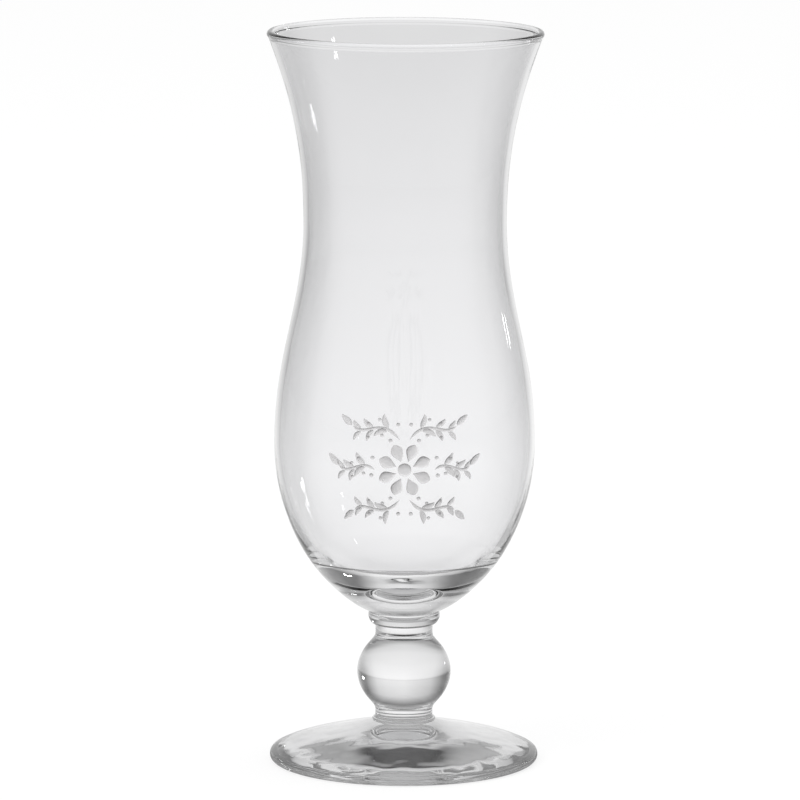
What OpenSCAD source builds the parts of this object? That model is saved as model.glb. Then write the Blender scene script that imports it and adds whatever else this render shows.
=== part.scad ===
// Hurricane glass: a flared, waisted bowl on a short stem with one ball, standing on a domed round foot.
// The glass stands on z = 0 with its axis on z. Every piece is turned about that axis.
// Heights in the bowl are counted from the bowl's own base, so the pieces stack on each other.

/* [Mouth and wall] */
// Outside diameter of the mouth, over its bead
rim_d = 77; // [66:0.5:90]
// Lean of the wall from upright just under the bead, in degrees
lip_lean = 20.3; // [8:0.1:30]
// Thickness of the bowl's wall from the bead down to the belly
wall_t = 1.65; // [1.2:0.05:2.4]
// How far the fire-polished bead stands proud of each face of the wall
bead_swell = 0.15; // [0.05:0.05:0.4]

/* [Bowl outline] */
// Height of the bowl, from its base to the top of the bead
bowl_h = 163.4; // [150:0.2:180]
// Height of the waist above the bowl's base
waist_h = 109.8; // [98:0.2:120]
// Outside diameter at the waist
waist_d = 56.6; // [50:0.2:64]
// Height of the belly above the bowl's base
belly_h = 47.7; // [40:0.1:58]
// Outside diameter at the belly
belly_d = 73; // [66:0.2:80]
// Height above the bowl's base of the heel, where the belly turns under
heel_h = 11.9; // [9:0.1:15]
// Outside diameter at the heel
heel_d = 49; // [44:0.2:54]
// Rise of the outline at the heel from level, in degrees
heel_rise = 51; // [44:0.5:58]
// Diameter of the bowl's base, where it is fused to the upper collar
base_d = 19.6; // [18.4:0.1:22]
// Rise of the outline at the base from level, in degrees
base_rise = 21.6; // [14:0.2:30]
// How much thicker the wall grows from the belly down to the edge of the floor
heel_swell = 0.9; // [0:0.1:1.6]
// Thickness of the glass between the bowl's floor and its base
floor_t = 8; // [6:0.1:9.6]

/* [Upper collar] */
// Height of the collar of glass between the bowl and the stem
upper_merese_h = 3.8; // [2.5:0.1:6]
// Greatest diameter of the upper collar
upper_merese_d = 20.1; // [19.8:0.1:24]

/* [Stem] */
// Diameter of the stem's two short necks
neck_d = 16.1; // [13:0.1:18]
// Length of the neck from the upper collar to the middle of the ball
neck_above_l = 13.5; // [12:0.1:20]
// Length from the middle of the ball to the lower collar
neck_below_l = 12.4; // [12:0.1:20]
// Diameter of the ball
ball_d = 26.2; // [20:0.1:32]
// Height that the ball would have without its necks
ball_h = 23.4; // [20:0.1:23.8]

/* [Lower collar] */
// How far the lower collar's cove flares out from the neck
flare_w = 0.55; // [0.2:0.05:2]
// Height of that cove
cove_h = 0.8; // [0.4:0.1:2]
// Height of the lower collar's rounded edge
lower_edge_h = 0.8; // [0.4:0.1:2]
// How far that edge swells out past the cove
lower_edge_w = 0.25; // [0.1:0.05:0.6]

/* [Foot] */
// Diameter of the foot
foot_d = 75.4; // [64:0.2:88]
// Height of the foot's domed top, where it is fused to the lower collar
foot_h = 11.3; // [9:0.1:15]
// Slope of the dome where it leaves the collar, in degrees
dome_slope = 26; // [18:1:34]
// Slope of the dome where it meets the rounded edge, in degrees
shoulder_slope = 28; // [18:1:36]
// Height of the shoulder, where the dome meets the rounded edge
shoulder_h = 3; // [2.4:0.1:4]
// How far the rounded edge reaches out past the shoulder
shoulder_w = 0.75; // [0.5:0.05:1.5]
// Height of the foot's widest line
edge_h = 1.5; // [1:0.1:2]
// Outside diameter of the flat ring that the foot stands on
bearing_d = 72; // [58:0.2:74]
// Width of that ring
bearing_w = 1.6; // [1:0.1:4]
// Depth of the hollow under the foot
hollow_h = 6; // [2:0.1:6.6]

/* [Hidden] */
$fn = 120;

// Straight steps in each stretch of an outline
steps = 20;
arc_steps = 12;

// Heights of the welds between the pieces, from the table up
foot_top_z = foot_h;
lower_merese_h = cove_h + lower_edge_h;
stem_z = foot_top_z + lower_merese_h;
ball_z = stem_z + neck_below_l;
merese_z = ball_z + neck_above_l;
bowl_z = merese_z + upper_merese_h;
glass_h = bowl_z + bowl_h;

// Handles of the bowl's outline, as shares of the height between the two stations that each one joins
lip_ease_share = 0.33;
waist_up_share = 0.43;
waist_down_share = 0.37;
belly_up_share = 0.41;
belly_down_share = 0.41;
heel_up_share = 0.28;
heel_down_share = 0.47;
base_ease_share = 0.49;
// Share of the stretch from belly to heel that the wall follows before it turns into the floor
wall_down_share = 0.873;
// Handles of the bowl's floor, on along the wall and in across its middle, as shares of the radius where it starts
well_down_share = 0.085;
floor_in_share = 0.554;
// Height of the upper collar's widest line, as a share of its height
merese_wide_share = 0.68;
// Handles of the foot's dome, as shares of the level run from collar to shoulder
dome_in_share = 0.18;
dome_out_share = 0.28;
// Where the handles of the foot's rounded edge lie, as a share of its width and of its height
edge_round_share = 0.55;
// Sharpness with which the ball grows out of its necks: higher is sharper
blend_power = 8;
// Shape of the hollow under the foot: how level it is at its middle, and how gently it starts from its edge
hollow_middle_power = 1.8;
hollow_edge_power = 1.14;

glass_tint = [0.86, 0.88, 0.89, 0.45];

// Point at share t along a curve with the ends a, d and the handles b, c
function curve_point(a, b, c, d, t) =
    pow(1 - t, 3) * a + 3 * pow(1 - t, 2) * t * b + 3 * (1 - t) * t * t * c + t * t * t * d;

// Direction of that curve at share t
function curve_way(a, b, c, d, t) =
    let (way = pow(1 - t, 2) * (b - a) + 2 * (1 - t) * t * (c - b) + t * t * (d - c))
    way / norm(way);

// Points of the curve from step first on, moved to the right of its way by a distance
function curve(ends, aside, first) = [
    for (i = [first : steps])
    let (
        t = i / steps,
        point = curve_point(ends[0], ends[1], ends[2], ends[3], t),
        way = curve_way(ends[0], ends[1], ends[2], ends[3], t)
    )
    point + aside * [way[1], -way[0]]
];

// Inner points along the curve's share until, where the wall grows to swell more than it was, slowly at first
function swollen_curve(ends, wall, swell, until) = [
    for (i = [1 : steps])
    let (
        t = until * i / steps,
        point = curve_point(ends[0], ends[1], ends[2], ends[3], t),
        way = curve_way(ends[0], ends[1], ends[2], ends[3], t),
        aside = wall + swell * pow(i / steps, 2)
    )
    point + aside * [way[1], -way[0]]
];

function backwards(points) = [for (i = [len(points) - 1 : -1 : 0]) points[i]];

// Points of an arc with half axes w and h about a centre, from one angle to another
function arc_points(centre, w, h, from, to) = [
    for (i = [0 : arc_steps])
    let (a = from + (to - from) * i / arc_steps)
    centre + [w * cos(a), h * sin(a)]
];

// The bead is a round ring whose centre lies on the middle of the wall
bead_r = wall_t / 2 + bead_swell;
bead_centre = [rim_d / 2 - bead_r, glass_h - bead_r];
lip_up = [sin(lip_lean), cos(lip_lean)];
lip_out = [cos(lip_lean), -sin(lip_lean)];
bead_sink = sqrt(pow(bead_r, 2) - pow(wall_t / 2, 2));
lip = bead_centre - bead_sink * lip_up + wall_t / 2 * lip_out;
bead_join = asin(wall_t / 2 / bead_r);

// Stations of the bowl's outline
waist = [waist_d / 2, bowl_z + waist_h];
belly = [belly_d / 2, bowl_z + belly_h];
heel = [heel_d / 2, bowl_z + heel_h];
base = [base_d / 2, bowl_z];
heel_way = [cos(heel_rise), sin(heel_rise)];
base_way = [cos(base_rise), sin(base_rise)];
flare_run = lip[1] - waist[1];
side_run = waist[1] - belly[1];
belly_run = belly[1] - heel[1];
heel_run = heel[1] - base[1];

// The four stretches of the outline, from the lip down to the base
flare_ends = [lip, lip - lip_ease_share * flare_run * lip_up, waist + [0, waist_up_share * flare_run], waist];
side_ends = [waist, waist - [0, waist_down_share * side_run], belly + [0, belly_up_share * side_run], belly];
belly_ends = [belly, belly - [0, belly_down_share * belly_run], heel + heel_up_share * belly_run * heel_way, heel];
heel_ends = [heel, heel - heel_down_share * heel_run * heel_way, base + base_ease_share * heel_run * base_way, base];

// Inside, the wall grows thicker below the belly, and then it turns into a thick dished floor
belly_inside = swollen_curve(belly_ends, wall_t, heel_swell, wall_down_share);
well_top = belly_inside[steps - 1];
last_step = well_top - belly_inside[steps - 2];
well_way = last_step / norm(last_step);
floor_middle = [0, bowl_z + floor_t];
well_ends = [
    well_top,
    well_top + well_down_share * well_top[0] * well_way,
    floor_middle + [floor_in_share * well_top[0], 0],
    floor_middle
];

module bowl() {
    outside = concat(
        curve(flare_ends, 0, 0),
        curve(side_ends, 0, 1),
        curve(belly_ends, 0, 1),
        curve(heel_ends, 0, 1)
    );
    inside = concat(
        curve(flare_ends, wall_t, 0),
        curve(side_ends, wall_t, 1),
        belly_inside,
        curve(well_ends, 0, 1)
    );
    // Round the top of the bead, from the inner face of the wall over to the outer one
    bead = arc_points(bead_centre, bead_r, bead_r, 270 - lip_lean - bead_join, bead_join - 90 - lip_lean);
    color(glass_tint)
        rotate_extrude()
            polygon(concat([[0, bowl_z]], backwards(outside), backwards(bead), inside));
}

// A collar with a rounded edge, wide enough at its top to carry the bowl's base
module upper_merese() {
    wide_z = merese_z + merese_wide_share * upper_merese_h;
    under = arc_points(
        [neck_d / 2, wide_z], (upper_merese_d - neck_d) / 2, wide_z - merese_z, -90, 0);
    over = arc_points(
        [base_d / 2, wide_z], (upper_merese_d - base_d) / 2, bowl_z - wide_z, 0, 90);
    color(glass_tint)
        rotate_extrude()
            polygon(concat([[0, merese_z]], under, over, [[0, bowl_z]]));
}

// Radius of the stem at height z: an oval ball that grows smoothly out of a straight neck
function stem_r(z) =
    let (
        lift = (z - ball_z) / (ball_h / 2),
        ball_r = abs(lift) < 1 ? ball_d / 2 * sqrt(1 - lift * lift) : 0
    )
    pow(pow(neck_d / 2, blend_power) + pow(ball_r, blend_power), 1 / blend_power);

module ball_stem() {
    below = [for (i = [0 : steps]) ball_z - neck_below_l * cos(90 * i / steps)];
    above = [for (i = [1 : steps]) ball_z + neck_above_l * sin(90 * i / steps)];
    side = [for (z = concat(below, above)) [stem_r(z), z]];
    color(glass_tint)
        rotate_extrude()
            polygon(concat([[0, stem_z]], side, [[0, merese_z]]));
}

// A cove that flares from the neck, over a small rounded edge
module lower_merese() {
    flare_r = neck_d / 2 + flare_w;
    edge_z = foot_top_z + lower_edge_h;
    edge = arc_points([flare_r, foot_top_z + lower_edge_h / 2], lower_edge_w, lower_edge_h / 2, -90, 90);
    cove = arc_points([flare_r, stem_z], flare_w, cove_h, 270, 180);
    color(glass_tint)
        rotate_extrude()
            polygon(concat([[0, foot_top_z]], edge, cove, [[0, stem_z]]));
}

module foot() {
    top = [neck_d / 2 + flare_w, foot_top_z];
    shoulder = [foot_d / 2 - shoulder_w, shoulder_h];
    edge = [foot_d / 2, edge_h];
    bearing = [bearing_d / 2, 0];
    dome_run = shoulder[0] - top[0];
    shoulder_way = [cos(shoulder_slope), -sin(shoulder_slope)];
    dome = [
        top,
        top + dome_in_share * dome_run * [cos(dome_slope), -sin(dome_slope)],
        shoulder - dome_out_share * dome_run * shoulder_way,
        shoulder
    ];
    over_edge = [
        shoulder,
        shoulder + edge_round_share * shoulder_w * shoulder_way,
        edge + [0, edge_round_share * (shoulder_h - edge_h)],
        edge
    ];
    under_edge = [
        edge,
        edge - [0, edge_round_share * edge_h],
        bearing + [edge_round_share * (edge[0] - bearing[0]), 0],
        bearing
    ];
    // The hollow is a dish, level at its middle
    hollow_r = bearing_d / 2 - bearing_w;
    hollow = [
        for (i = [0 : steps])
        let (a = 90 * i / steps)
        [hollow_r * cos(a), hollow_h * pow(1 - pow(cos(a), hollow_middle_power), hollow_edge_power)]
    ];
    color(glass_tint)
        rotate_extrude()
            polygon(concat(
                [[0, foot_top_z]],
                curve(dome, 0, 0),
                curve(over_edge, 0, 1),
                curve(under_edge, 0, 1),
                hollow
            ));
}

bowl();
upper_merese();
ball_stem();
lower_merese();
foot();
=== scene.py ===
import math

import bpy
import numpy as np
from mathutils import Matrix, Vector


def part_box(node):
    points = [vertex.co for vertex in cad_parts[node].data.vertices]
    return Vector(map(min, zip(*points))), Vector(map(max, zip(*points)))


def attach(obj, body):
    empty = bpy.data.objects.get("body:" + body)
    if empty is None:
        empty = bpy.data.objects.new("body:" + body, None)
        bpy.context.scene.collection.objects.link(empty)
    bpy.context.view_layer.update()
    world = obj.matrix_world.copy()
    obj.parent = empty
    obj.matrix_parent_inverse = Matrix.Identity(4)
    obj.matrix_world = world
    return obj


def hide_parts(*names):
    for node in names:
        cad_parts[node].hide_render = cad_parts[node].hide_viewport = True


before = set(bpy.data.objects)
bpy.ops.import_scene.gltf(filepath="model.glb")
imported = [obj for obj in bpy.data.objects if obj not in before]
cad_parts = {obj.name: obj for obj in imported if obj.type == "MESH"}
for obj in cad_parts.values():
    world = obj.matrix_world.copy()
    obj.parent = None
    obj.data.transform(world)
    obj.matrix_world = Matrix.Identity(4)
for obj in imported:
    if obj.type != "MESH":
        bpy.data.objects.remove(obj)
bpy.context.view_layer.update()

bl_info = {
    "name": "Hurricane glass",
    "version": (1, 0, 0),
    "blender": (4, 5, 0),
    "location": "View3D > Sidebar > Glass",
    "description": "A footed hurricane glass, turned piece by piece, with an etched spray on its bowl",
    "category": "Add Mesh",
}

MM = 0.001
bowl_low, bowl_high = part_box("bowl")
collar_low, collar_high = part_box("upper_merese")
stem_low, stem_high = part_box("ball_stem")
ring_low, ring_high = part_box("lower_merese")
foot_low, foot_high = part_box("foot")


def length(name, text, default, **more):
    """A size in metres, shown as a length in the panel."""
    return bpy.props.FloatProperty(
        name=name, description=text, default=default, min=0.0, unit="LENGTH", precision=5, **more)


def angle(name, text, degrees):
    return bpy.props.FloatProperty(
        name=name, description=text, default=math.radians(degrees), subtype="ANGLE")


def share(name, text, default):
    return bpy.props.FloatProperty(name=name, description=text, default=default, min=0.0, max=1.0)


def amount(name, text, default, **more):
    return bpy.props.FloatProperty(name=name, description=text, default=default, **more)


def tint(name, text, default):
    return bpy.props.FloatVectorProperty(
        name=name, description=text, default=default, subtype="COLOR", size=len(default), min=0.0, max=1.0)


class BowlSizes(bpy.types.PropertyGroup):
    rim_d: length("Mouth", "Outside diameter of the mouth over its bead", 77 * MM)
    lip_lean: angle("Lip lean", "Lean of the wall from upright under the bead", 20.3)
    wall: length("Wall", "Thickness of the wall from bead to belly", 1.65 * MM)
    swell: length("Heel swell", "How much thicker the wall grows from belly to floor", 0.9 * MM)
    bead_swell: length("Bead swell", "How far the bead stands proud of each face of the wall", 0.15 * MM)
    waist_h: length("Waist height", "Height of the waist above the bowl's base", 109.8 * MM)
    waist_d: length("Waist", "Outside diameter at the waist", 56.6 * MM)
    belly_h: length("Belly height", "Height of the belly above the bowl's base", 47.7 * MM)
    belly_d: length("Belly", "Outside diameter at the belly", 73 * MM)
    heel_h: length("Heel height", "Height of the heel above the bowl's base", 11.9 * MM)
    heel_d: length("Heel", "Outside diameter at the heel", 49 * MM)
    heel_rise: angle("Heel rise", "Rise of the outline at the heel from level", 51)
    base_d: length("Base", "Diameter of the base, where it is fused to the collar", 19.6 * MM)
    base_rise: angle("Base rise", "Rise of the outline at the base from level", 21.6)
    floor: length("Floor", "Thickness of the glass under the bowl's floor", 8 * MM)


class StemSizes(bpy.types.PropertyGroup):
    neck_d: length("Neck", "Diameter of the stem's necks", 16.1 * MM)
    ball_d: length("Ball", "Diameter of the ball", 26.2 * MM)
    ball_h: length("Ball height", "Height the ball would have without its necks", 23.4 * MM)
    ball_lift: length("Ball middle", "Height of the ball's middle above the lower collar", 12.4 * MM)
    collar_d: length("Upper collar", "Greatest diameter of the upper collar", 20.1 * MM)
    flare_w: length("Cove", "How far the lower collar's cove flares from the neck", 0.55 * MM)
    ring_w: length("Edge", "How far the lower collar's edge swells past its cove", 0.25 * MM)


class FootSizes(bpy.types.PropertyGroup):
    foot_d: length("Foot", "Diameter of the foot", 75.4 * MM)
    dome_slope: angle("Dome slope", "Slope of the dome where it leaves the collar", 26)
    shoulder_slope: angle("Shoulder slope", "Slope of the dome where it meets the edge", 28)
    shoulder_h: length("Shoulder", "Height where the dome meets the rounded edge", 3 * MM)
    shoulder_w: length("Edge reach", "How far the rounded edge reaches past the shoulder", 0.75 * MM)
    edge_h: length("Widest line", "Height of the foot's widest line", 1.5 * MM)
    bearing_d: length("Bearing ring", "Outside diameter of the ring that the foot stands on", 72 * MM)
    bearing_w: length("Ring width", "Width of that ring", 1.6 * MM)
    hollow: length("Hollow", "Depth of the hollow under the foot", 6 * MM)


class SpraySizes(bpy.types.PropertyGroup):
    middle: length("Height", "Height of the rosette's middle above the bowl's base", 46 * MM)
    relief: length("Relief", "How far the ridges of the etching stand proud", 0.26 * MM)
    clearance: length("Clearance", "Gap between the etching and the glass behind it", 0.02 * MM)
    petals: bpy.props.IntProperty(
        name="Petals", description="Number of petals in the rosette", default=8, min=5, max=12)
    petal_l: length("Petal", "Length of a petal", 5.2 * MM)
    petal_w: length("Petal width", "Greatest width of a petal", 3.4 * MM)
    eye_d: length("Eye", "Diameter of the round in the middle of the rosette", 3.8 * MM)
    vine_l: length("Vine", "Reach of each side vine from the middle", 24.5 * MM)
    vine_w: length("Vine width", "Width of a vine", 0.9 * MM)
    leaf_l: length("Leaf", "Length of the largest leaf", 7.2 * MM)
    leaf_w: length("Leaf width", "Greatest width of the largest leaf", 3.1 * MM)
    berry_d: length("Berry", "Diameter of a berry", 2.1 * MM)


class GlassFinish(bpy.types.PropertyGroup):
    body: tint("Glass", "Colour that light takes on at each surface", (0.985, 0.985, 0.991, 1.0))
    ior: amount("Index", "Index of refraction of soda-lime glass", 1.52)
    etched: tint("Etching", "Colour of the satin etching", (0.66, 0.645, 0.65, 1.0))
    cover: share("Etching depth", "How much of the light the etching stops at each face", 0.34)
    ripple: share("Ripple", "Strength of the slow ripple that blowing and polishing leave", 0.015)
    foot_ripple: share("Foot ripple", "Strength of the broad waves in the foot", 0.05)


class StageLook(bpy.types.PropertyGroup):
    floor_r: length("Floor", "Radius of the round floor", 3.0)
    eye_back: length("Camera distance", "How far the camera stands in front of the glass", 1.743)
    eye_up: length("Camera height", "Height of the camera above the floor", 0.38)
    eye_left: length("Camera offset", "How far the camera stands to the left of the glass", 0.0013)
    eye_pitch: angle("Camera pitch", "How far the camera looks down", 9.053)
    eye_roll: angle("Camera roll", "Small roll of the camera", 0.15)
    eye_lens: amount("Lens", "Focal length in mm on a 36 mm wide frame", 284.1)


def settings():
    return bpy.context.scene.hurricane_glass


# Handles of the curves, as shares of the height or run between the two stations that each one joins
LIP_EASE, WAIST_UP, WAIST_DOWN, BELLY_UP = 0.33, 0.43, 0.37, 0.41
BELLY_DOWN, HEEL_UP, HEEL_DOWN, BASE_EASE = 0.41, 0.28, 0.47, 0.49
WALL_DOWN, WELL_DOWN, FLOOR_IN = 0.873, 0.085, 0.554
COLLAR_WIDE = 0.68
DOME_IN, DOME_OUT, EDGE_ROUND = 0.18, 0.28, 0.55
BLEND_POWER = 8
HOLLOW_MIDDLE, HOLLOW_EDGE = 1.8, 1.14
RING_SPLIT = 0.5
# How finely the outlines are cut, and the angle in degrees over which an edge stays sharp
TURNS = 208
CURVE_STEPS = 56
ARC_STEPS = 24
CREASE = 38
# Points of an outline that lie closer than this are one point
SAME_POINT = 1e-7


def curve(ends, aside=0.0, until=1.0, steps=CURVE_STEPS):
    """Cubic curve through ends[0] and ends[3] with the handles ends[1] and ends[2], as (r, z) points.
    Each point is moved to the right of the curve's way by aside, which may differ from point to point,
    and only the first share until is kept."""
    a, b, c, d = (np.asarray(p, float) for p in ends)
    t = np.linspace(0, until, steps + 1)[:, None]
    points = (1 - t) ** 3 * a + 3 * (1 - t) ** 2 * t * b + 3 * (1 - t) * t * t * c + t ** 3 * d
    way = (1 - t) ** 2 * (b - a) + 2 * (1 - t) * t * (c - b) + t * t * (d - c)
    way /= np.linalg.norm(way, axis=1, keepdims=True)
    return points + aside * np.column_stack([way[:, 1], -way[:, 0]])


def arc(centre, w, h, start, end, steps=ARC_STEPS):
    """Arc with half axes w and h about a centre, from one angle to another, in degrees."""
    a = np.radians(np.linspace(start, end, steps + 1))
    return np.column_stack([centre[0] + w * np.cos(a), centre[1] + h * np.sin(a)])


def joined(*stretches):
    """One outline out of stretches that meet: a repeated point is kept once."""
    points = np.concatenate([np.atleast_2d(s) for s in stretches])
    step = np.linalg.norm(np.diff(points, axis=0), axis=1)
    return points[np.concatenate([[True], step > SAME_POINT])]


def put_mesh(name, points, faces, materials, face_slots):
    """Mesh object from points and faces of three or four corners, with one material slot number per face."""
    mesh = bpy.data.meshes.new(name)
    mesh.from_pydata(points.tolist(), [], faces)
    for material in materials:
        mesh.materials.append(material)
    mesh.polygons.foreach_set("material_index", np.asarray(face_slots, np.int32))
    mesh.update()
    piece = bpy.data.objects.new(name, mesh)
    bpy.context.scene.collection.objects.link(piece)
    return piece


def turned(name, outline, glass, weld=None, weld_low=False, weld_high=False):
    """Surface turned about the axis: the outline's point (r, z) goes to (r cos a, r sin a, z) for every a.
    The outline runs from the axis at the bottom, round the outside and back to it, which closes the piece.
    Its first and last stretch are faces fused to a neighbour, if weld_low or weld_high says so."""
    rings = outline[1:-1]
    a = np.linspace(0, 2 * np.pi, TURNS, endpoint=False)
    r = rings[:, :1]
    z = np.repeat(rings[:, 1:], TURNS, axis=1)
    body = np.stack([r * np.cos(a), r * np.sin(a), z], axis=-1).reshape(-1, 3)
    poles = np.array([[0, 0, outline[0, 1]], [0, 0, outline[-1, 1]]])
    points = np.concatenate([body, poles])
    here = np.arange(TURNS)
    after = (here + 1) % TURNS
    row = np.arange(len(rings) - 1)[:, None] * TURNS
    quads = np.stack([row + here, row + after, row + after + TURNS, row + here + TURNS], axis=-1)
    quads = quads.reshape(-1, 4)
    low_pole, high_pole = len(body), len(body) + 1
    last = (len(rings) - 1) * TURNS
    low = np.column_stack([after, here, np.full(TURNS, low_pole)])
    high = np.column_stack([last + here, last + after, np.full(TURNS, high_pole)])
    faces = quads.tolist() + low.tolist() + high.tolist()
    slots = [0] * len(quads) + [int(weld_low)] * TURNS + [int(weld_high)] * TURNS
    piece = put_mesh(name, points, faces, [glass, weld] if weld else [glass], slots)
    piece.data.shade_smooth()
    piece.data.set_sharp_from_angle(angle=math.radians(CREASE))
    return piece


def bowl_curves(s):
    """Stretches of the bowl's outline from the lip down, outside and inside."""
    top, bottom = bowl_high.z, bowl_low.z
    bead_r = s.wall / 2 + s.bead_swell
    bead = np.array([s.rim_d / 2 - bead_r, top - bead_r])
    lip_up = np.array([math.sin(s.lip_lean), math.cos(s.lip_lean)])
    lip_out = np.array([math.cos(s.lip_lean), -math.sin(s.lip_lean)])
    lip = bead - math.sqrt(bead_r ** 2 - (s.wall / 2) ** 2) * lip_up + s.wall / 2 * lip_out
    waist = np.array([s.waist_d / 2, bottom + s.waist_h])
    belly = np.array([s.belly_d / 2, bottom + s.belly_h])
    heel = np.array([s.heel_d / 2, bottom + s.heel_h])
    base = np.array([s.base_d / 2, bottom])
    heel_way = np.array([math.cos(s.heel_rise), math.sin(s.heel_rise)])
    base_way = np.array([math.cos(s.base_rise), math.sin(s.base_rise)])
    up = np.array([0.0, 1.0])
    flare_run, side_run = lip[1] - waist[1], waist[1] - belly[1]
    belly_run, heel_run = belly[1] - heel[1], s.heel_h
    flare = (lip, lip - LIP_EASE * flare_run * lip_up, waist + WAIST_UP * flare_run * up, waist)
    side = (waist, waist - WAIST_DOWN * side_run * up, belly + BELLY_UP * side_run * up, belly)
    under = (belly, belly - BELLY_DOWN * belly_run * up, heel + HEEL_UP * belly_run * heel_way, heel)
    turn = (heel, heel - HEEL_DOWN * heel_run * heel_way, base + BASE_EASE * heel_run * base_way, base)
    grown = s.wall + s.swell * np.linspace(0, 1, CURVE_STEPS + 1)[:, None] ** 2
    wall = joined(curve(flare, s.wall), curve(side, s.wall), curve(under, grown, WALL_DOWN))
    inner = wall[-1]
    inner_way = (wall[-1] - wall[-2]) / np.linalg.norm(wall[-1] - wall[-2])
    middle = np.array([0, bottom + s.floor])
    level = np.array([FLOOR_IN * inner[0], 0])
    well = (inner, inner + WELL_DOWN * inner[0] * inner_way, middle + level, middle)
    join = math.degrees(math.asin(s.wall / 2 / bead_r))
    lean = math.degrees(s.lip_lean)
    bead_arc = arc(bead, bead_r, bead_r, join - 90 - lean, 270 - lean - join)
    outside = joined(curve(flare), curve(side), curve(under), curve(turn))
    inside = joined(wall, curve(well))
    return outside, bead_arc, inside


# Waves to the metre along X, Y and Z, drawn out along the axis in the blown glass, and how high they are
BLOWN_WAVES, SPUN_WAVES = (60.0, 60.0, 18.0), (42.0, 42.0, 42.0)
WAVE_HEIGHT = 1 * MM
# Satin etching: roughness, grains and patches to the metre, depth and strength of the grain
SATIN, GRAINS, PATCHES = 0.55, 4500.0, 260.0
GRAIN_DEPTH, GRAIN_STRENGTH = 0.03 * MM, 0.35
# Brightness of its patches: the darkest, and how much brighter they get
PATCH_LOW, PATCH_SPAN = 0.9, 0.22
# Painted light of an etched stroke: its field lies between these two, the ridge with painted shade below and
# the one with painted highlight above
FIELD_PAINTED_LIGHT = (0.42, 0.6)
RIDGE_PAINTED_LIGHT = (0.0, 0.9)
# The two ridges, with painted shade and with painted highlight: their share of the colour, and how much of
# the light each face stops
RIDGE_PAINTED_SHADES, RIDGE_COVERS = (0.12, 1.45), (0.6, 0.06)


def clear_glass(name, ripple, per_metre):
    """Clear soda-lime glass with the slow ripple that its making left: how strong, and how many waves
    to the metre along X, Y and Z."""
    finish = settings().finish
    material = bpy.data.materials.new(name)
    material.use_nodes = True
    nodes, links = material.node_tree.nodes, material.node_tree.links
    shader = nodes["Principled BSDF"]
    shader.inputs["Base Color"].default_value = finish.body
    shader.inputs["Roughness"].default_value = 0.0
    shader.inputs["IOR"].default_value = finish.ior
    shader.inputs["Transmission Weight"].default_value = 1.0
    place = nodes.new("ShaderNodeTexCoord")
    stretch = nodes.new("ShaderNodeMapping")
    stretch.inputs["Scale"].default_value = per_metre
    noise = nodes.new("ShaderNodeTexNoise")
    noise.inputs["Detail"].default_value = 0.0
    bump = nodes.new("ShaderNodeBump")
    bump.inputs["Strength"].default_value = ripple
    bump.inputs["Distance"].default_value = WAVE_HEIGHT
    links.new(place.outputs["Object"], stretch.inputs["Vector"])
    links.new(stretch.outputs["Vector"], noise.inputs["Vector"])
    links.new(noise.outputs["Fac"], bump.inputs["Height"])
    links.new(bump.outputs["Normal"], shader.inputs["Normal"])
    return material


def blown_glass():
    """The bowl and stem: faint waves, drawn out along the axis."""
    return clear_glass("blown_glass", settings().finish.ripple, BLOWN_WAVES)


def spun_glass():
    """The foot: broader and deeper waves, left where it was pressed and spun out."""
    return clear_glass("spun_glass", settings().finish.foot_ripple, SPUN_WAVES)


def satin_etching():
    """Etched glass: a pale satin skin with a fine sandy grain and slow patches where the acid bit deeper.
    Each stroke's painted light gives one of its ridges a painted shade and the other one a painted highlight."""
    finish = settings().finish
    material = bpy.data.materials.new("satin_etching")
    material.use_nodes = True
    nodes, links = material.node_tree.nodes, material.node_tree.links
    shader = nodes["Principled BSDF"]
    shader.inputs["Roughness"].default_value = SATIN
    shader.inputs["IOR"].default_value = finish.ior
    place = nodes.new("ShaderNodeTexCoord")
    grain = nodes.new("ShaderNodeTexNoise")
    grain.inputs["Scale"].default_value = GRAINS
    grain.inputs["Detail"].default_value = 2.0
    patches = nodes.new("ShaderNodeTexNoise")
    patches.inputs["Scale"].default_value = PATCHES
    links.new(place.outputs["Object"], grain.inputs["Vector"])
    links.new(place.outputs["Object"], patches.inputs["Vector"])
    depth = nodes.new("ShaderNodeAttribute")
    depth.attribute_name = "painted_light"

    def by_painted_light(ridges, field):
        """A value by the stroke's painted light: the same all over its field, another on the ridge with
        painted shade and another on the one with painted highlight.
        """
        stops = ((RIDGE_PAINTED_LIGHT[0], ridges[0]), (FIELD_PAINTED_LIGHT[0], field), (FIELD_PAINTED_LIGHT[1], field),
                 (RIDGE_PAINTED_LIGHT[1], ridges[1]))
        return ramp_node(nodes, links, depth.outputs["Fac"], stops)

    # Painted shade on one ridge and painted highlight on the other; the field keeps the etching's colour
    edge = by_painted_light(RIDGE_PAINTED_SHADES, 1.0)
    # The ridge with painted shade also stops more of the light than the one with painted highlight
    links.new(by_painted_light(RIDGE_COVERS, finish.cover), shader.inputs["Alpha"])
    patchy = math_node(nodes, links, "MULTIPLY", patches.outputs["Fac"], PATCH_SPAN)
    patchy = math_node(nodes, links, "ADD", patchy, PATCH_LOW)
    # The etching's colour with its random patches and the painted shade and highlight of its ridges
    painted_light = nodes.new("ShaderNodeVectorMath")
    painted_light.operation = "SCALE"
    painted_light.inputs[0].default_value = finish.etched[:3]
    links.new(math_node(nodes, links, "MULTIPLY", patchy, edge), painted_light.inputs["Scale"])
    links.new(painted_light.outputs["Vector"], shader.inputs["Base Color"])
    bump = nodes.new("ShaderNodeBump")
    bump.inputs["Strength"].default_value = GRAIN_STRENGTH
    bump.inputs["Distance"].default_value = GRAIN_DEPTH
    links.new(grain.outputs["Fac"], bump.inputs["Height"])
    links.new(bump.outputs["Normal"], shader.inputs["Normal"])
    return material


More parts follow.
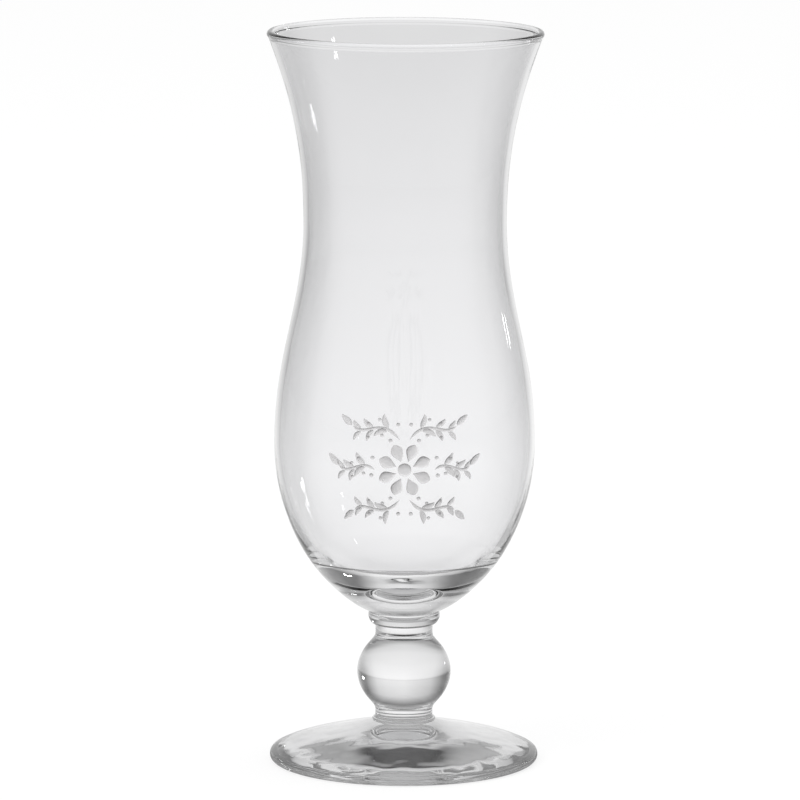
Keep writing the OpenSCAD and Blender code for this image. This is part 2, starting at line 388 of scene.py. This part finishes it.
def weld_glass():
    """The face where two pieces are fused: light crosses it without bending."""
    material = bpy.data.materials.new("fused_face")
    material.use_nodes = True
    nodes, links = material.node_tree.nodes, material.node_tree.links
    nodes.remove(nodes["Principled BSDF"])
    clear = nodes.new("ShaderNodeBsdfTransparent")
    links.new(clear.outputs["BSDF"], nodes["Material Output"].inputs["Surface"])
    return material


def material_named(name, make):
    return bpy.data.materials.get(name) or make()


def seat(piece, node):
    """The piece stands for a CAD node, which is hidden, and moves with the glass."""
    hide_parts(node)
    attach(piece, "root")


class GLASS_OT_bowl(bpy.types.Operator):
    """Turn the bowl: bead, flare, waist, belly, heel and rounded floor"""
    bl_idname = "glass.bowl"
    bl_label = "Turn the bowl"

    def execute(self, context):
        outside, bead, inside = bowl_curves(settings().bowl)
        outline = joined([[0, bowl_low.z]], outside[::-1], bead, inside)
        piece = turned("glass_bowl", outline, material_named("blown_glass", blown_glass),
                       material_named("fused_face", weld_glass), weld_low=True)
        seat(piece, "bowl")
        return {"FINISHED"}


class GLASS_OT_stem(bpy.types.Operator):
    """Turn the upper collar, the stem with its ball, and the lower collar"""
    bl_idname = "glass.stem"
    bl_label = "Turn the stem and collars"

    def execute(self, context):
        s, bowl = settings().stem, settings().bowl
        glass = material_named("blown_glass", blown_glass)
        weld = material_named("fused_face", weld_glass)
        neck_r = s.neck_d / 2
        low, high = collar_low.z, collar_high.z
        wide_z = low + COLLAR_WIDE * (high - low)
        under = arc((neck_r, wide_z), s.collar_d / 2 - neck_r, wide_z - low, -90, 0)
        over = arc((bowl.base_d / 2, wide_z), (s.collar_d - bowl.base_d) / 2, high - wide_z, 0, 90)
        outline = joined([[0, low]], under, over, [[0, high]])
        seat(turned("glass_upper_collar", outline, glass, weld, True, True), "upper_merese")
        low, high = stem_low.z, stem_high.z
        ball_z = low + s.ball_lift
        turn = np.radians(np.linspace(0, 90, CURVE_STEPS + 1))
        z = np.concatenate([ball_z - s.ball_lift * np.cos(turn), ball_z + (high - ball_z) * np.sin(turn[1:])])
        lift = np.clip((z - ball_z) / (s.ball_h / 2), -1, 1)
        ball_r = s.ball_d / 2 * np.sqrt(1 - lift ** 2)
        side_r = (neck_r ** BLEND_POWER + ball_r ** BLEND_POWER) ** (1 / BLEND_POWER)
        outline = joined([[0, low]], np.column_stack([side_r, z]), [[0, high]])
        seat(turned("glass_ball_stem", outline, glass, weld, True, True), "ball_stem")
        low, high = ring_low.z, ring_high.z
        flare_r = neck_r + s.flare_w
        edge_h = RING_SPLIT * (high - low)
        edge = arc((flare_r, low + edge_h / 2), s.ring_w, edge_h / 2, -90, 90)
        cove = arc((flare_r, high), s.flare_w, high - low - edge_h, 270, 180)
        outline = joined([[0, low]], edge, cove, [[0, high]])
        seat(turned("glass_lower_collar", outline, glass, weld, True, True), "lower_merese")
        return {"FINISHED"}


class GLASS_OT_foot(bpy.types.Operator):
    """Turn the domed foot with its rounded edge, bearing ring and hollow"""
    bl_idname = "glass.foot"
    bl_label = "Turn the foot"

    def execute(self, context):
        s, stem = settings().foot, settings().stem
        top = np.array([stem.neck_d / 2 + stem.flare_w, foot_high.z])
        shoulder = np.array([s.foot_d / 2 - s.shoulder_w, s.shoulder_h])
        edge = np.array([s.foot_d / 2, s.edge_h])
        bearing = np.array([s.bearing_d / 2, 0.0])
        run = shoulder[0] - top[0]
        up = np.array([0.0, 1.0])
        out = np.array([1.0, 0.0])
        dome_way = np.array([math.cos(s.dome_slope), -math.sin(s.dome_slope)])
        shoulder_way = np.array([math.cos(s.shoulder_slope), -math.sin(s.shoulder_slope)])
        dome = (top, top + DOME_IN * run * dome_way, shoulder - DOME_OUT * run * shoulder_way, shoulder)
        over = (shoulder, shoulder + EDGE_ROUND * s.shoulder_w * shoulder_way,
                edge + EDGE_ROUND * (s.shoulder_h - s.edge_h) * up, edge)
        under = (edge, edge - EDGE_ROUND * s.edge_h * up,
                 bearing + EDGE_ROUND * (edge[0] - bearing[0]) * out, bearing)
        a = np.radians(np.linspace(0, 90, CURVE_STEPS + 1))
        hollow_r = s.bearing_d / 2 - s.bearing_w
        share_out = np.cos(a).clip(0, 1)
        hollow_z = s.hollow * (1 - share_out ** HOLLOW_MIDDLE) ** HOLLOW_EDGE
        hollow = np.column_stack([hollow_r * share_out, hollow_z])
        hollow[-1, 0] = 0.0
        outline = joined(hollow[::-1], curve(under)[::-1], curve(over)[::-1], curve(dome)[::-1],
                         [[0, foot_high.z]])
        piece = turned("glass_foot", outline, material_named("spun_glass", spun_glass),
                       material_named("fused_face", weld_glass), weld_high=True)
        seat(piece, "foot")
        return {"FINISHED"}


# Section of an etched stroke as (share of half width, share of relief), round from its left foot:
# a raised ridge along each side and a hollow between them
STROKE = np.array([(-1, 0), (-1, 0.75), (-0.92, 1), (-0.78, 0.85), (-0.6, 0.3), (0, 0.2), (0.6, 0.3),
                   (0.78, 0.85), (0.92, 1), (1, 0.75), (1, 0), (0, 0)])
# From this share of the half width outwards a point lies on the ridge, all of it after a further share
RIDGE_FROM, RIDGE_SPAN = 0.6, 0.3
# The side of the drawing from which the painted light comes: ridges facing it get a painted highlight, ridges
# facing away a painted shade
PAINTED_LIGHT_WAY = np.array([0.6, -0.8])
STROKE_STEPS = 26
# A stroke narrower than this share of a vine's width has less relief
THIN_SHARE = 0.25
# How blunt a leaf is, and where along it leaf and petal are widest
LEAF_BLUNT, LEAF_FULLEST, PETAL_FULLEST = 0.8, 0.42, 0.62
# Clear glass between the eye and its petals, and between the petals and the vines
PETAL_GAP, VINE_GAP = 0.5 * MM, 1.2 * MM
# The vines' size next to the largest leaf, the leaves to each side, and how fast leaves shrink along the vine
VINE_SIZE, VINE_PAIRS, VINE_SHRINK = 0.6, 3, 0.35
# Where the pairs stand: steps before the first one and past the last one; how fast the ends of the vine taper
PAIRS_BEFORE, PAIRS_AFTER, VINE_TAPER = 0.7, 0.4, 3
# A side leaf: its lean from the vine in degrees, its start in vine widths and its bend
LEAF_LEAN, LEAF_OFF, LEAF_BEND = 48, 0.75, 0.12
# A berry: its direction from the vine in degrees, and how far out and back it lies in leaf lengths
BERRY_LEAN, BERRY_OUT, BERRY_BACK = 80, 0.62, 0.28
# Start of the last leaf past the vine's end, in vine widths
LAST_LEAF_OFF = 0.4
# Handles and end of the vine to the side and of the one that rises, in reaches of the vine
SIDE_VINE = ((0.5, 0.12), (0.65, -0.1), (0.76, 0.02))
RISING_VINE = ((0.26, 0.62), (0.45, 0.34), (0.6, 0.48))
# How far aside the rising vine starts, as a share of its start's height
RISE_ASIDE = 0.16


def on_belly(flat, lift):
    """Places a drawing on the front of the bowl: across becomes an angle about the axis, up stays height,
    and lift is measured square to the glass. The drawing's middle comes on the side of -Y."""
    s = settings().spray
    outside = bowl_curves(settings().bowl)[0][::-1]
    middle_z = bowl_low.z + s.middle
    z = middle_z + flat[..., 1]
    r = np.interp(z, outside[:, 1], outside[:, 0])
    slope = np.interp(z, outside[:, 1], np.gradient(outside[:, 0], outside[:, 1]))
    square = np.sqrt(1 + slope ** 2)
    a = -np.pi / 2 + flat[..., 0] / np.interp(middle_z, outside[:, 1], outside[:, 0])
    reach = r + lift / square
    return np.stack([reach * np.cos(a), reach * np.sin(a), z - lift * slope / square], axis=-1)


def stroke(path, half_widths):
    """One etched stroke: the section STROKE carried along a flat path, as wide at each point as half_widths
    says, both ends run out to a point. Returns points, faces and each point's painted light, 0 for painted
    shade to 1 for painted highlight."""
    s = settings().spray
    way = np.gradient(path, axis=0)
    way /= np.linalg.norm(way, axis=1, keepdims=True)
    side = np.column_stack([-way[:, 1], way[:, 0]])
    inner, widths = slice(1, -1), half_widths[1:-1, None]
    flat = path[inner, None] - side[inner, None] * (STROKE[None, :, 0] * widths)[..., None]
    thin = np.minimum(1, widths / (THIN_SHARE * s.vine_w))
    lift = s.clearance + s.relief * thin * STROKE[None, :, 1]
    body = on_belly(flat, lift).reshape(-1, 3)
    outward = -side[inner, None] * STROKE[None, :, :1]
    ridge = np.clip((abs(STROKE[None, :, 0]) - RIDGE_FROM) / RIDGE_SPAN, 0, 1)
    # Painted light: a ridge that faces PAINTED_LIGHT_WAY gets a painted highlight, one that faces away a
    # painted shade
    painted_light = 0.5 + 0.5 * ridge * (outward @ PAINTED_LIGHT_WAY)
    tips = on_belly(path[[0, -1]], np.full(2, s.clearance))
    rows, around = len(path) - 2, len(STROKE)
    here = np.arange(around)
    after = (here + 1) % around
    row = np.arange(rows - 1)[:, None] * around
    quads = np.stack([row + here, row + after, row + after + around, row + here + around], axis=-1)
    last = (rows - 1) * around
    first = np.column_stack([after, here, np.full(around, len(body))])
    end = np.column_stack([last + here, last + after, np.full(around, len(body) + 1)])
    faces = quads.reshape(-1, 4).tolist() + first.tolist() + end.tolist()
    return np.concatenate([body, tips]), faces, [*painted_light.reshape(-1), 0.5, 0.5]


def straight_path(start, turn, reach, bend=0.0):
    """Flat path from a point, in the direction turn in radians, bent to one side by a share of its length."""
    t = np.linspace(0, 1, STROKE_STEPS)
    along, across = t * reach, bend * reach * (t - t * t) * 4
    c, n = math.cos(turn), math.sin(turn)
    return np.asarray(start) + np.column_stack([along * c - across * n, along * n + across * c])


def leaf_widths(width, fullest=LEAF_FULLEST):
    """Half widths of a leaf: nothing at both ends and widest at the share fullest of its length."""
    t = np.linspace(0, 1, STROKE_STEPS)
    power = math.log(0.5) / math.log(fullest)
    return width / 2 * np.sin(np.pi * t ** power) ** LEAF_BLUNT


def round_widths(width):
    """Half widths that make a stroke a disc."""
    t = np.linspace(-1, 1, STROKE_STEPS)
    return width / 2 * np.sqrt(1 - t * t)


def leaf(start, turn, reach, width, bend=0.0, fullest=LEAF_FULLEST):
    return stroke(straight_path(start, turn, reach, bend), leaf_widths(width, fullest))


def berry(middle, width):
    return stroke(straight_path(np.asarray(middle) - [width / 2, 0], 0.0, width), round_widths(width))


def rosette(s):
    """Round eye in a ring of blunt petals."""
    strokes = [berry((0, 0), s.eye_d)]
    for k in range(s.petals):
        turn = 2 * math.pi * (k + 0.5) / s.petals
        start = (s.eye_d / 2 + PETAL_GAP) * np.array([math.cos(turn), math.sin(turn)])
        strokes.append(leaf(start, turn, s.petal_l, s.petal_w, fullest=PETAL_FULLEST))
    return strokes


def vine(s, ends, flip):
    """A vine along a cubic curve: a leaf and a berry to each side at even steps and a last leaf at its end.
    flip is -1 for the mirror image to the left."""
    t = np.linspace(0, 1, STROKE_STEPS)[:, None]
    a, b, c, d = (np.asarray(p) * [flip, 1] for p in ends)
    path = (1 - t) ** 3 * a + 3 * (1 - t) ** 2 * t * b + 3 * (1 - t) * t * t * c + t ** 3 * d
    taper = s.vine_w / 2 * np.minimum(1, np.sin(np.pi * np.linspace(0, 1, STROKE_STEPS)) * VINE_TAPER)
    strokes = [stroke(path, taper)]
    for k in range(VINE_PAIRS):
        share_along = (k + PAIRS_BEFORE) / (VINE_PAIRS + PAIRS_AFTER)
        at = int(share_along * (STROKE_STEPS - 1))
        way = path[min(at + 1, STROKE_STEPS - 1)] - path[at - 1]
        turn = math.atan2(way[1], way[0])
        small = VINE_SIZE * (1 - VINE_SHRINK * share_along)
        for side in (-1, 1):
            lean = turn + side * math.radians(LEAF_LEAN)
            start = path[at] + LEAF_OFF * s.vine_w * np.array([math.cos(lean), math.sin(lean)])
            strokes.append(leaf(start, lean, small * s.leaf_l, small * s.leaf_w, -LEAF_BEND * side))
            out = turn + side * math.radians(BERRY_LEAN)
            gap = BERRY_OUT * small * s.leaf_l
            place = path[at] + gap * np.array([math.cos(out), math.sin(out)])
            place = place - BERRY_BACK * s.leaf_l * way / np.linalg.norm(way)
            strokes.append(berry(place, small * s.berry_d))
    way = path[-1] - path[-2]
    turn = math.atan2(way[1], way[0])
    start = path[-1] + LAST_LEAF_OFF * s.vine_w * way / np.linalg.norm(way)
    strokes.append(leaf(start, turn, VINE_SIZE * s.leaf_l, VINE_SIZE * s.leaf_w))
    return strokes


class GLASS_OT_spray(bpy.types.Operator):
    """Lay the etched rosette with its leafy vines on the front of the belly"""
    bl_idname = "glass.spray"
    bl_label = "Etch the spray"

    def execute(self, context):
        s = settings().spray
        near = s.eye_d / 2 + s.petal_l + VINE_GAP
        side = ((near, 0), *(s.vine_l * np.array(SIDE_VINE)))
        rise = ((RISE_ASIDE * near, near), *(s.vine_l * np.array(RISING_VINE)))
        fall = tuple((x, -z) for x, z in rise)
        strokes = rosette(s)
        for flip in (-1, 1):
            for ends in (side, rise, fall):
                strokes += vine(s, ends, flip)
        points, faces, painted_lights, used = [], [], [], 0
        for places, corners, painted_light in strokes:
            points.append(places)
            painted_lights += painted_light
            faces += [[used + i for i in face] for face in corners]
            used += len(places)
        piece = put_mesh("etched_spray", np.concatenate(points), faces,
                         [material_named("satin_etching", satin_etching)], [0] * len(faces))
        # Each point's painted light goes into an attribute that the etching's colour reads
        values = piece.data.attributes.new("painted_light", "FLOAT", "POINT").data
        values.foreach_set("value", np.array(painted_lights, np.float32))
        piece.data.shade_smooth()
        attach(piece, "root")
        return {"FINISHED"}


# Light crosses up to a dozen faces of clear glass, and some welds besides
BOUNCES, MIRRORINGS, WELDS_CROSSED = 32, 16, 64
# Frame of the camera in mm, and the nearest and farthest distance that it sees
FRAME_W, NEAREST, FARTHEST = 36.0, 0.05, 100.0
FLOOR_SIDES = 96
# Grey of the floor's paper under the lamps
PAPER = 0.17


class GLASS_OT_stage(bpy.types.Operator):
    """Set the pale floor, the lamps, the surroundings and the camera"""
    bl_idname = "glass.stage"
    bl_label = "Set the stage"

    def execute(self, context):
        s = settings().stage
        scene = bpy.context.scene
        scene.view_settings.view_transform = "Standard"
        place_camera(s)
        lay_floor(s)
        surround()
        for values in LAMPS:
            lamp(*values)
        scene.cycles.max_bounces = BOUNCES
        scene.cycles.transmission_bounces = BOUNCES
        scene.cycles.glossy_bounces = MIRRORINGS
        scene.cycles.transparent_max_bounces = WELDS_CROSSED
        return {"FINISHED"}


def place_camera(s):
    """Camera in front of the glass at the height and pitch that match the ellipses of mouth and foot."""
    lens = bpy.data.cameras.new("camera")
    lens.sensor_width = FRAME_W
    lens.lens = s.eye_lens
    lens.clip_start = NEAREST
    lens.clip_end = FARTHEST
    camera = bpy.data.objects.new("camera", lens)
    bpy.context.scene.collection.objects.link(camera)
    aim = Matrix.Rotation(math.radians(90) - s.eye_pitch, 4, "X") @ Matrix.Rotation(s.eye_roll, 4, "Z")
    camera.matrix_world = Matrix.Translation((-s.eye_left, -s.eye_back, s.eye_up)) @ aim
    bpy.context.scene.camera = camera


def lay_floor(s):
    """Round level floor under the glass."""
    a = np.linspace(0, 2 * np.pi, FLOOR_SIDES, endpoint=False)
    points = np.column_stack([s.floor_r * np.cos(a), s.floor_r * np.sin(a), np.zeros(FLOOR_SIDES)])
    floor = put_mesh("floor", points, [list(range(FLOOR_SIDES))], [floor_paper()], [0])


def math_node(nodes, links, operation, a, b=None, clamp=False):
    """One arithmetic step; a and b are numbers or outputs of other nodes."""
    node = nodes.new("ShaderNodeMath")
    node.operation = operation
    node.use_clamp = clamp
    for socket, value in zip(node.inputs, (a, b)):
        if value is None:
            continue
        if isinstance(value, (int, float)):
            socket.default_value = value
        else:
            links.new(value, socket)
    return node.outputs[0]


def ramp_node(nodes, links, value, stops):
    """Grey that follows a value through (value, grey) stops between 0 and 1."""
    node = nodes.new("ShaderNodeValToRGB")
    elements = node.color_ramp.elements
    while len(elements) > 1:
        elements.remove(elements[-1])
    for index, (place, grey) in enumerate(stops):
        stop = elements[0] if index == 0 else elements.new(place)
        stop.position = place
        stop.color = (grey, grey, grey, 1)
    links.new(value, node.inputs["Fac"])
    return node.outputs["Color"]


def glass_rays(nodes, links):
    """1 for light that the glass bends or mirrors, and 0 for the rest."""
    rays = nodes.new("ShaderNodeLightPath").outputs
    return math_node(nodes, links, "MAXIMUM", rays["Is Glossy Ray"], rays["Is Transmission Ray"])


# What the glass sees of the studio, as (place, brightness) stops. The paper sweep behind the glass is bright,
# the room is dark on both sides of it, and half as bright in front.
# Round the glass: degrees from straight behind, to the right.
ROUND = ((-180, 0.58), (-138, 0.64), (-108, 0.68), (-92, 0.48), (-82, 0.12), (-56, 0.09), (-46, 0.2),
         (-36, 0.43), (-26, 0.7), (-16, 0.81), (0, 0.97), (16, 0.94), (26, 0.84), (36, 0.53), (46, 0.19),
         (56, 0.15), (68, 0.26), (80, 0.48), (96, 0.63), (138, 0.64), (180, 0.58))
# Up the sweep and over the room, by the sine of the height above the horizon
SWEEP_UP = ((-1.0, 0.82), (-0.07, 0.82), (0.0, 0.9), (0.04, 0.88), (0.09, 0.85), (0.2, 0.79), (0.31, 0.7),
            (0.42, 0.35), (0.53, 0.0))
ROOM_UP = ((0.0, 0.0), (0.34, 0.05), (0.53, 0.2), (0.67, 0.42), (1.0, 0.45))
# Panes of two windows: degrees round, sine of height, width in degrees, height in sine, brightness
PANES = ((50.6, 0.07, 1.5, 0.045, 9.0), (52.9, 0.08, 1.2, 0.05, 9.0), (55.0, 0.068, 1.5, 0.05, 9.0),
         (106.0, 0.42, 1.8, 0.04, 9.0))
# Over the floor, by metres from the glass, painted light and shade that only the glass sees: how bright it is
# behind, and how far ROUND counts there.
# Under the foot the floor has a painted shadow, darkest under the stem, and a painted darker ring lies round
# the foot's edge.
FLOOR_PAINTED_LIGHT = ((0.0, 0.06), (0.0095, 0.06), (0.0125, 0.42), (0.016, 0.66), (0.022, 0.76), (0.029, 0.76),
             (0.033, 0.42), (0.044, 0.42), (0.05, 0.7), (0.06, 0.82), (0.1, 0.89), (0.2, 0.95), (0.45, 0.97),
             (0.7, 0.94), (1.1, 0.88), (1.8, 0.82), (3.0, 0.82))
FLOOR_ROUND = ((0.0, 0.0), (0.012, 0.2), (0.03, 0.4), (0.045, 0.3), (0.06, 0.2), (0.2, 0.6), (0.5, 0.75),
               (1.0, 0.9), (3.0, 1.0))
# Share of the floor's white that the lamps give it, so that the glass's shadow shows
LAMP_SHARE = 0.2


def stops_between(stops, low, high, power=1.0):
    """The same stops with their places mapped onto 0 to 1."""
    return [(((place - low) / (high - low)) ** power, grey) for place, grey in stops]


def share_round(nodes, links, x, y):
    """0 to 1 once round the glass from straight in front, for the direction (x, y) seen from it."""
    turn = math_node(nodes, links, "ARCTAN2", x, y)
    return math_node(nodes, links, "ADD", math_node(nodes, links, "DIVIDE", turn, 2 * math.pi), 0.5)


def round_grey(nodes, links, x, y):
    """ROUND as a node value, for the direction (x, y) seen from the glass."""
    return ramp_node(nodes, links, share_round(nodes, links, x, y), stops_between(ROUND, -180, 180))


def pane(nodes, links, around, z, middle, height, wide, high, strength):
    """One bright window pane in the room, as a node value."""
    def near(value, place, reach):
        gap = math_node(nodes, links, "ABSOLUTE", math_node(nodes, links, "SUBTRACT", value, place))
        return math_node(nodes, links, "LESS_THAN", gap, reach / 2)

    across, upright = near(around, middle / 360 + 0.5, wide / 360), near(z, height, high)
    both = math_node(nodes, links, "MULTIPLY", across, upright)
    return math_node(nodes, links, "MULTIPLY", both, strength)


def floor_paper():
    """White paper that is lifted to white where it is seen straight, and still takes the glass's shadow.
    The glass sees it with the painted light and shade of FLOOR_PAINTED_LIGHT and ROUND, among them a painted
    shadow under the foot."""
    far_r = settings().stage.floor_r
    material = bpy.data.materials.new("floor_paper")
    material.use_nodes = True
    nodes, links = material.node_tree.nodes, material.node_tree.links
    nodes.remove(nodes["Principled BSDF"])
    place = nodes.new("ShaderNodeTexCoord")
    reach = nodes.new("ShaderNodeVectorMath")
    reach.operation = "LENGTH"
    parts = nodes.new("ShaderNodeSeparateXYZ")
    links.new(place.outputs["Object"], reach.inputs[0])
    links.new(place.outputs["Object"], parts.inputs[0])
    out = math_node(nodes, links, "SQRT", math_node(nodes, links, "DIVIDE", reach.outputs["Value"], far_r))
    # Painted light and shade of the floor, seen only by the glass: a painted shadow under and round the foot,
    # and darker towards the room's dark sides
    behind = ramp_node(nodes, links, out, stops_between(FLOOR_PAINTED_LIGHT, 0, far_r, 0.5))
    counts = ramp_node(nodes, links, out, stops_between(FLOOR_ROUND, 0, far_r, 0.5))
    grey = round_grey(nodes, links, parts.outputs[0], parts.outputs[1])
    dimmer = math_node(nodes, links, "SUBTRACT", 1.0, grey)
    kept = math_node(nodes, links, "SUBTRACT", 1.0, math_node(nodes, links, "MULTIPLY", counts, dimmer))
    level = math_node(nodes, links, "MULTIPLY", behind, kept)
    through = math_node(nodes, links, "SUBTRACT", level, LAMP_SHARE, clamp=True)
    path = nodes.new("ShaderNodeLightPath")
    lift = nodes.new("ShaderNodeEmission")
    straight = math_node(nodes, links, "MULTIPLY", path.outputs["Is Camera Ray"], 1 - LAMP_SHARE)
    glassy = math_node(nodes, links, "MULTIPLY", glass_rays(nodes, links), through)
    links.new(math_node(nodes, links, "MAXIMUM", straight, glassy), lift.inputs["Strength"])
    paper = nodes.new("ShaderNodeBsdfDiffuse")
    paper.inputs["Color"].default_value = (PAPER, PAPER, PAPER, 1)
    both = nodes.new("ShaderNodeAddShader")
    links.new(paper.outputs[0], both.inputs[0])
    links.new(lift.outputs[0], both.inputs[1])
    links.new(both.outputs[0], nodes["Material Output"].inputs["Surface"])
    return material


def surround():
    """Soft even light for things, and for the glass the studio of ROUND, SWEEP_UP and ROOM_UP."""
    world = bpy.data.worlds.new("room")
    bpy.context.scene.world = world
    world.use_nodes = True
    nodes, links = world.node_tree.nodes, world.node_tree.links
    path = nodes.new("ShaderNodeLightPath")
    place = nodes.new("ShaderNodeTexCoord")
    parts = nodes.new("ShaderNodeSeparateXYZ")
    links.new(place.outputs["Generated"], parts.inputs[0])
    x, y, z = parts.outputs
    half = math_node(nodes, links, "MULTIPLY", math_node(nodes, links, "ADD", z, 1.0), 0.5)
    sweep = ramp_node(nodes, links, half, stops_between(SWEEP_UP, -1, 1))
    above = ramp_node(nodes, links, half, stops_between(ROOM_UP, -1, 1))
    arch = math_node(nodes, links, "MULTIPLY", sweep, round_grey(nodes, links, x, y))
    room = math_node(nodes, links, "ADD", arch, above)
    around = share_round(nodes, links, x, y)
    for window in PANES:
        room = math_node(nodes, links, "ADD", room, pane(nodes, links, around, z, *window))
    glassy = glass_rays(nodes, links)
    other = math_node(nodes, links, "SUBTRACT", 1.0, glassy)
    seen = math_node(nodes, links, "ADD", math_node(nodes, links, "MULTIPLY", room, glassy), other)
    strength = math_node(nodes, links, "MAXIMUM", seen, path.outputs["Is Camera Ray"])
    links.new(strength, nodes["Background"].inputs["Strength"])
    nodes["Background"].inputs["Color"].default_value = (1, 1, 1, 1)


# Soft lamps: name, place, width and power in watts. They face a point half way up the glass.
LAMPS = (("key_box", (-1.1, -0.9, 1.5), 0.8, 12), ("top_box", (0.3, 0.2, 2.0), 1.2, 12))
LAMP_AIM = (0, 0, 0.1)


def lamp(name, place, width, power):
    """Soft square lamp at a place, turned to face LAMP_AIM. The glass doesn't show it."""
    light = bpy.data.lights.new(name, "AREA")
    light.shape = "RECTANGLE"
    light.size = light.size_y = width
    light.energy = power
    holder = bpy.data.objects.new(name, light)
    way = Vector(LAMP_AIM) - Vector(place)
    holder.matrix_world = Matrix.Translation(place) @ way.to_track_quat("-Z", "Y").to_matrix().to_4x4()
    holder.visible_glossy = False
    holder.visible_transmission = False
    bpy.context.scene.collection.objects.link(holder)


class HurricaneGlass(bpy.types.PropertyGroup):
    bowl: bpy.props.PointerProperty(type=BowlSizes)
    stem: bpy.props.PointerProperty(type=StemSizes)
    foot: bpy.props.PointerProperty(type=FootSizes)
    spray: bpy.props.PointerProperty(type=SpraySizes)
    finish: bpy.props.PointerProperty(type=GlassFinish)
    stage: bpy.props.PointerProperty(type=StageLook)


STEPS = (GLASS_OT_bowl, GLASS_OT_stem, GLASS_OT_foot, GLASS_OT_spray, GLASS_OT_stage)


class GLASS_PT_panel(bpy.types.Panel):
    """Lists the steps that make the glass and its stage"""
    bl_idname = "GLASS_PT_panel"
    bl_label = "Hurricane glass"
    bl_space_type = "VIEW_3D"
    bl_region_type = "UI"
    bl_category = "Glass"

    def draw(self, context):
        for step in STEPS:
            self.layout.operator(step.bl_idname)


CLASSES = (BowlSizes, StemSizes, FootSizes, SpraySizes, GlassFinish, StageLook, HurricaneGlass, *STEPS,
           GLASS_PT_panel)


def register():
    for cls in CLASSES:
        bpy.utils.register_class(cls)
    bpy.types.Scene.hurricane_glass = bpy.props.PointerProperty(type=HurricaneGlass)


def unregister():
    del bpy.types.Scene.hurricane_glass
    for cls in reversed(CLASSES):
        bpy.utils.unregister_class(cls)


def main():
    register()
    bpy.ops.glass.bowl()
    bpy.ops.glass.stem()
    bpy.ops.glass.foot()
    bpy.ops.glass.spray()
    bpy.ops.glass.stage()


if __name__ == "__main__":
    main()
